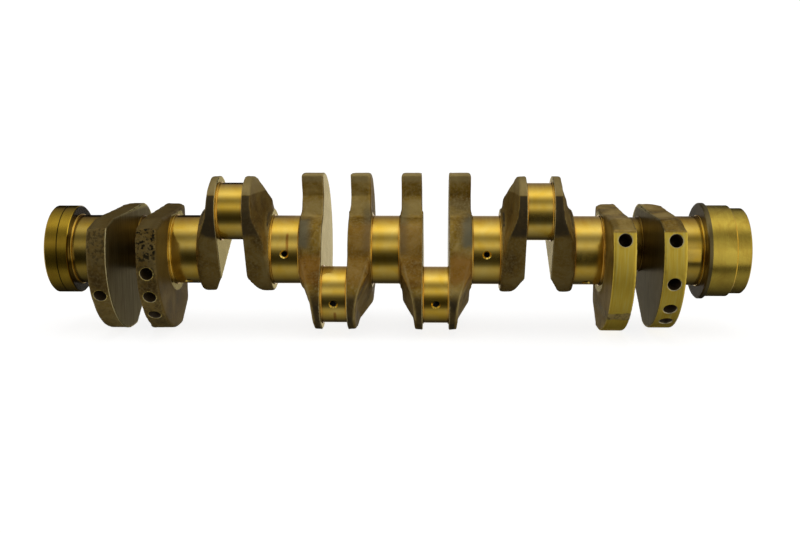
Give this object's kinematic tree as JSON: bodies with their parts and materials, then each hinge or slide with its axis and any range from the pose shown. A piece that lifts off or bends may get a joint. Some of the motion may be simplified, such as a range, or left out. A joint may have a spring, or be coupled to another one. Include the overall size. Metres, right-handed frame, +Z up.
{
  "type": "crankshaft",
  "caption": "Forged crankshaft for an inline diesel engine, with ground journals, crankpins in mirrored pairs, counterweighted webs and a hub at each end.",
  "frame": {"origin": "middle of the centre main journal, on the crankshaft's axis of rotation", "axes": "+X along the axis towards the flywheel end, +Y towards crankpins 1 and 6, +Z up as it is shown lying"},
  "size_m": [0.8476, 0.21, 0.195],
  "materials": {
    "ground_journal": "ground and polished steel under a golden rust-preventive film",
    "forged_web": null,
    "dark_ring": "darkened machined steel"
  },
  "bodies": {
    "root": {"front_hub": "ground_journal", "main_journal_1": "ground_journal", "main_journal_2": "ground_journal", "main_journal_3": "ground_journal", "main_journal_4": "ground_journal", "main_journal_5": "ground_journal", "main_journal_6": "ground_journal", "main_journal_7": "ground_journal", "crankpin_1": "ground_journal", "crankpin_2": "ground_journal", "crankpin_3": "ground_journal", "crankpin_4": "ground_journal", "crankpin_5": "ground_journal", "crankpin_6": "ground_journal", "web_1": "forged_web", "web_2": "forged_web", "web_3": "forged_web", "web_4": "forged_web", "web_5": "forged_web", "web_6": "forged_web", "web_7": "forged_web", "web_8": "forged_web", "web_9": "forged_web", "web_10": "forged_web", "web_11": "forged_web", "web_12": "forged_web", "oil_ring": "dark_ring", "rear_hub": "ground_journal"}
  },
  "joints": []
}
